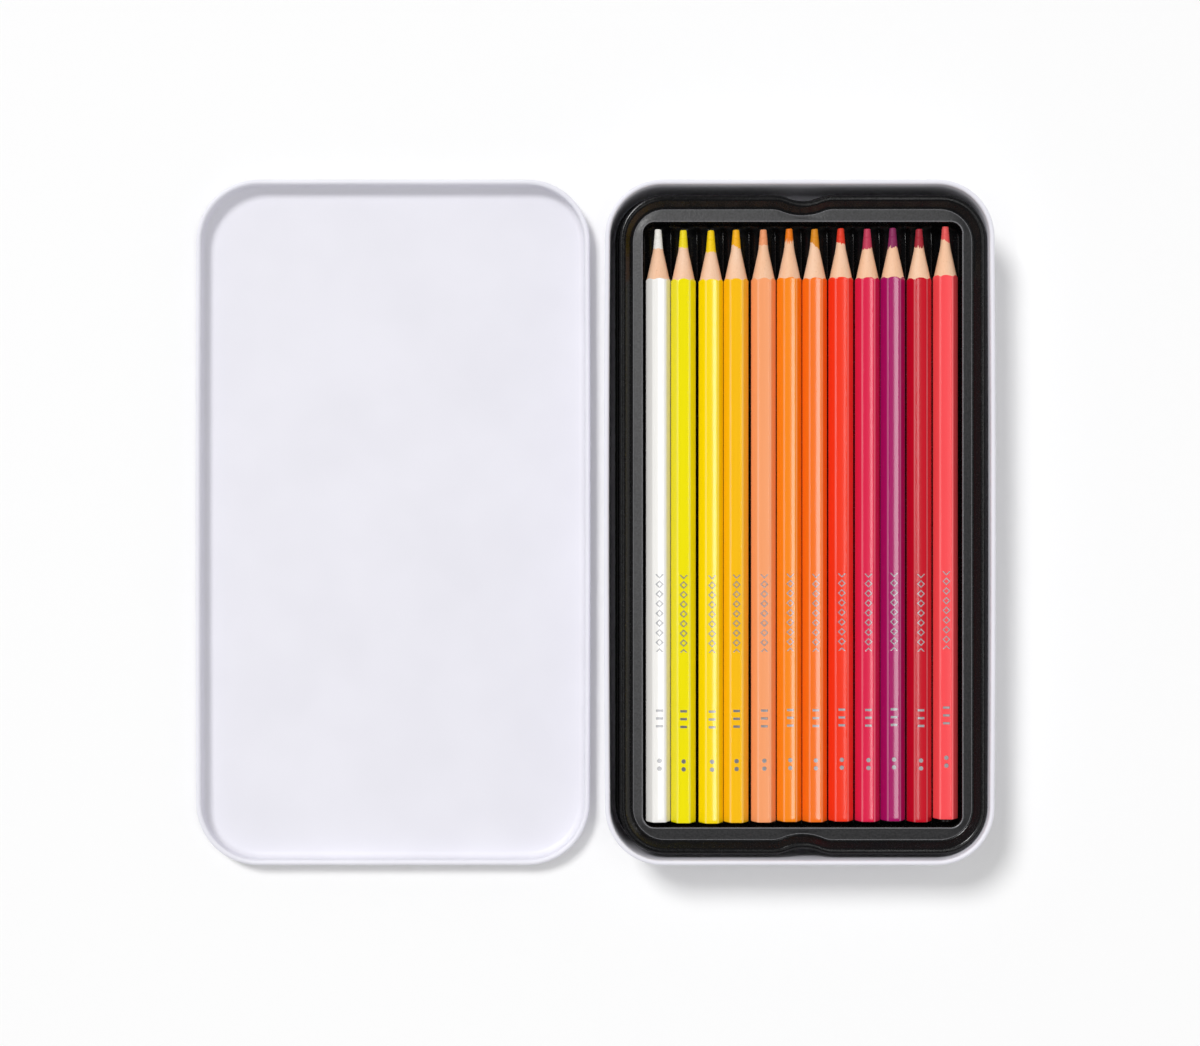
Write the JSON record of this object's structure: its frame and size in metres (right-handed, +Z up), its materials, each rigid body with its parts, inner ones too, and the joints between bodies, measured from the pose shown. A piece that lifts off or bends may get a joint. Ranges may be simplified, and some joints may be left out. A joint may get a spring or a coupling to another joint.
{
  "type": "coloured pencil tin",
  "caption": "Flat rectangular tin with a slip-on lid laid beside it, and two loose grooved trays of hexagonal coloured pencils stacked in its base.",
  "frame": {"origin": "on the table, under the middle of the box round the lid and the base as they lie side by side", "axes": "+Z up, +X from the lid to the base across both, +Y along the pencils towards their points"},
  "size_m": [0.2366, 0.2054, 0.021],
  "materials": {
    "white_tinplate": "satin white lacquer",
    "black_sheet": "vacuum-formed, glossy on the bead and grooves, matte on the ledge",
    "white_lacquer": "gloss lacquer over wood",
    "white_pigment": "dull waxy pigment",
    "lemon_lacquer": "gloss lacquer over wood",
    "lemon_pigment": "dull waxy pigment",
    "yellow_lacquer": "gloss lacquer over wood",
    "yellow_pigment": "dull waxy pigment",
    "golden_lacquer": "gloss lacquer over wood",
    "golden_pigment": "dull waxy pigment",
    "peach_lacquer": "gloss lacquer over wood",
    "peach_pigment": "dull waxy pigment",
    "orange_lacquer": "gloss lacquer over wood",
    "orange_pigment": "dull waxy pigment",
    "tangerine_lacquer": "gloss lacquer over wood",
    "tangerine_pigment": "dull waxy pigment",
    "scarlet_lacquer": "gloss lacquer over wood",
    "scarlet_pigment": "dull waxy pigment",
    "magenta_lacquer": "gloss lacquer over wood",
    "magenta_pigment": "dull waxy pigment",
    "plum_lacquer": "gloss lacquer over wood",
    "plum_pigment": "dull waxy pigment",
    "crimson_lacquer": "gloss lacquer over wood",
    "crimson_pigment": "dull waxy pigment",
    "coral_lacquer": "gloss lacquer over wood",
    "coral_pigment": "dull waxy pigment",
    "rose_lacquer": "gloss lacquer over wood",
    "rose_pigment": "dull waxy pigment",
    "violet_lacquer": "gloss lacquer over wood",
    "violet_pigment": "dull waxy pigment",
    "indigo_lacquer": "gloss lacquer over wood",
    "indigo_pigment": "dull waxy pigment",
    "blue_lacquer": "gloss lacquer over wood",
    "blue_pigment": "dull waxy pigment",
    "sky_lacquer": "gloss lacquer over wood",
    "sky_pigment": "dull waxy pigment",
    "turquoise_lacquer": "gloss lacquer over wood",
    "turquoise_pigment": "dull waxy pigment",
    "green_lacquer": "gloss lacquer over wood",
    "green_pigment": "dull waxy pigment",
    "leaf_lacquer": "gloss lacquer over wood",
    "leaf_pigment": "dull waxy pigment",
    "olive_lacquer": "gloss lacquer over wood",
    "olive_pigment": "dull waxy pigment",
    "ochre_lacquer": "gloss lacquer over wood",
    "ochre_pigment": "dull waxy pigment",
    "brown_lacquer": "gloss lacquer over wood",
    "brown_pigment": "dull waxy pigment",
    "black_lacquer": "gloss lacquer over wood",
    "black_pigment": "dull waxy pigment"
  },
  "bodies": {
    "base": {"tin_base": "white_tinplate"},
    "lid": {"tin_lid": "white_tinplate"},
    "lower_tray": {"lower_tray": "black_sheet"},
    "upper_tray": {"upper_tray": "black_sheet"},
    "white_pencil": {"white_pencil_casing": "white_lacquer", "white_pencil_core": "white_pigment"},
    "lemon_pencil": {"lemon_pencil_casing": "lemon_lacquer", "lemon_pencil_core": "lemon_pigment"},
    "yellow_pencil": {"yellow_pencil_casing": "yellow_lacquer", "yellow_pencil_core": "yellow_pigment"},
    "golden_pencil": {"golden_pencil_casing": "golden_lacquer", "golden_pencil_core": "golden_pigment"},
    "peach_pencil": {"peach_pencil_casing": "peach_lacquer", "peach_pencil_core": "peach_pigment"},
    "orange_pencil": {"orange_pencil_casing": "orange_lacquer", "orange_pencil_core": "orange_pigment"},
    "tangerine_pencil": {"tangerine_pencil_casing": "tangerine_lacquer", "tangerine_pencil_core": "tangerine_pigment"},
    "scarlet_pencil": {"scarlet_pencil_casing": "scarlet_lacquer", "scarlet_pencil_core": "scarlet_pigment"},
    "magenta_pencil": {"magenta_pencil_casing": "magenta_lacquer", "magenta_pencil_core": "magenta_pigment"},
    "plum_pencil": {"plum_pencil_casing": "plum_lacquer", "plum_pencil_core": "plum_pigment"},
    "crimson_pencil": {"crimson_pencil_casing": "crimson_lacquer", "crimson_pencil_core": "crimson_pigment"},
    "coral_pencil": {"coral_pencil_casing": "coral_lacquer", "coral_pencil_core": "coral_pigment"},
    "rose_pencil": {"rose_pencil_casing": "rose_lacquer", "rose_pencil_core": "rose_pigment"},
    "violet_pencil": {"violet_pencil_casing": "violet_lacquer", "violet_pencil_core": "violet_pigment"},
    "indigo_pencil": {"indigo_pencil_casing": "indigo_lacquer", "indigo_pencil_core": "indigo_pigment"},
    "blue_pencil": {"blue_pencil_casing": "blue_lacquer", "blue_pencil_core": "blue_pigment"},
    "sky_pencil": {"sky_pencil_casing": "sky_lacquer", "sky_pencil_core": "sky_pigment"},
    "turquoise_pencil": {"turquoise_pencil_casing": "turquoise_lacquer", "turquoise_pencil_core": "turquoise_pigment"},
    "green_pencil": {"green_pencil_casing": "green_lacquer", "green_pencil_core": "green_pigment"},
    "leaf_pencil": {"leaf_pencil_casing": "leaf_lacquer", "leaf_pencil_core": "leaf_pigment"},
    "olive_pencil": {"olive_pencil_casing": "olive_lacquer", "olive_pencil_core": "olive_pigment"},
    "ochre_pencil": {"ochre_pencil_casing": "ochre_lacquer", "ochre_pencil_core": "ochre_pigment"},
    "brown_pencil": {"brown_pencil_casing": "brown_lacquer", "brown_pencil_core": "brown_pigment"},
    "black_pencil": {"black_pencil_casing": "black_lacquer", "black_pencil_core": "black_pigment"}
  },
  "joints": [
    {"name": "lid_turn_over", "type": "hinge", "parent": "base", "child": "lid", "pos_m": [0.00097, 0, 0.01102], "axis": [0, 1, 0], "range_deg": [0, 180]},
    {"name": "lower_tray_lift", "type": "slide", "parent": "base", "child": "lower_tray", "axis": [0, 0, 1], "range_m": [0, 0.06]},
    {"name": "upper_tray_lift", "type": "slide", "parent": "lower_tray", "child": "upper_tray", "axis": [0, 0, 1], "range_m": [0, 0.06]},
    {"name": "white_pencil_lift", "type": "slide", "parent": "upper_tray", "child": "white_pencil", "axis": [0, 0, 1], "range_m": [0, 0.05]},
    {"name": "lemon_pencil_lift", "type": "slide", "parent": "upper_tray", "child": "lemon_pencil", "axis": [0, 0, 1], "range_m": [0, 0.05]},
    {"name": "yellow_pencil_lift", "type": "slide", "parent": "upper_tray", "child": "yellow_pencil", "axis": [0, 0, 1], "range_m": [0, 0.05]},
    {"name": "golden_pencil_lift", "type": "slide", "parent": "upper_tray", "child": "golden_pencil", "axis": [0, 0, 1], "range_m": [0, 0.05]},
    {"name": "peach_pencil_lift", "type": "slide", "parent": "upper_tray", "child": "peach_pencil", "axis": [0, 0, 1], "range_m": [0, 0.05]},
    {"name": "orange_pencil_lift", "type": "slide", "parent": "upper_tray", "child": "orange_pencil", "axis": [0, 0, 1], "range_m": [0, 0.05]},
    {"name": "tangerine_pencil_lift", "type": "slide", "parent": "upper_tray", "child": "tangerine_pencil", "axis": [0, 0, 1], "range_m": [0, 0.05]},
    {"name": "scarlet_pencil_lift", "type": "slide", "parent": "upper_tray", "child": "scarlet_pencil", "axis": [0, 0, 1], "range_m": [0, 0.05]},
    {"name": "magenta_pencil_lift", "type": "slide", "parent": "upper_tray", "child": "magenta_pencil", "axis": [0, 0, 1], "range_m": [0, 0.05]},
    {"name": "plum_pencil_lift", "type": "slide", "parent": "upper_tray", "child": "plum_pencil", "axis": [0, 0, 1], "range_m": [0, 0.05]},
    {"name": "crimson_pencil_lift", "type": "slide", "parent": "upper_tray", "child": "crimson_pencil", "axis": [0, 0, 1], "range_m": [0, 0.05]},
    {"name": "coral_pencil_lift", "type": "slide", "parent": "upper_tray", "child": "coral_pencil", "axis": [0, 0, 1], "range_m": [0, 0.05]},
    {"name": "rose_pencil_slide", "type": "slide", "parent": "lower_tray", "child": "rose_pencil", "axis": [0, 1, 0], "range_m": [-0.0005, 0.00085]},
    {"name": "violet_pencil_slide", "type": "slide", "parent": "lower_tray", "child": "violet_pencil", "axis": [0, 1, 0], "range_m": [-0.00075, 0.00155]},
    {"name": "indigo_pencil_slide", "type": "slide", "parent": "lower_tray", "child": "indigo_pencil", "axis": [0, 1, 0], "range_m": [-0.00125, 0.00105]},
    {"name": "blue_pencil_slide", "type": "slide", "parent": "lower_tray", "child": "blue_pencil", "axis": [0, 1, 0], "range_m": [-0.00095, 0.00135]},
    {"name": "sky_pencil_slide", "type": "slide", "parent": "lower_tray", "child": "sky_pencil", "axis": [0, 1, 0], "range_m": [-0.00165, 0.00065]},
    {"name": "turquoise_pencil_slide", "type": "slide", "parent": "lower_tray", "child": "turquoise_pencil", "axis": [0, 1, 0], "range_m": [-0.00115, 0.00115]},
    {"name": "green_pencil_slide", "type": "slide", "parent": "lower_tray", "child": "green_pencil", "axis": [0, 1, 0], "range_m": [-0.00085, 0.00145]},
    {"name": "leaf_pencil_slide", "type": "slide", "parent": "lower_tray", "child": "leaf_pencil", "axis": [0, 1, 0], "range_m": [-0.00135, 0.00095]},
    {"name": "olive_pencil_slide", "type": "slide", "parent": "lower_tray", "child": "olive_pencil", "axis": [0, 1, 0], "range_m": [-0.00115, 0.00115]},
    {"name": "ochre_pencil_slide", "type": "slide", "parent": "lower_tray", "child": "ochre_pencil", "axis": [0, 1, 0], "range_m": [-0.00065, 0.00165]},
    {"name": "brown_pencil_slide", "type": "slide", "parent": "lower_tray", "child": "brown_pencil", "axis": [0, 1, 0], "range_m": [-0.00135, 0.00095]},
    {"name": "black_pencil_slide", "type": "slide", "parent": "lower_tray", "child": "black_pencil", "axis": [0, 1, 0], "range_m": [-0.0002, 0.00115]}
  ]
}
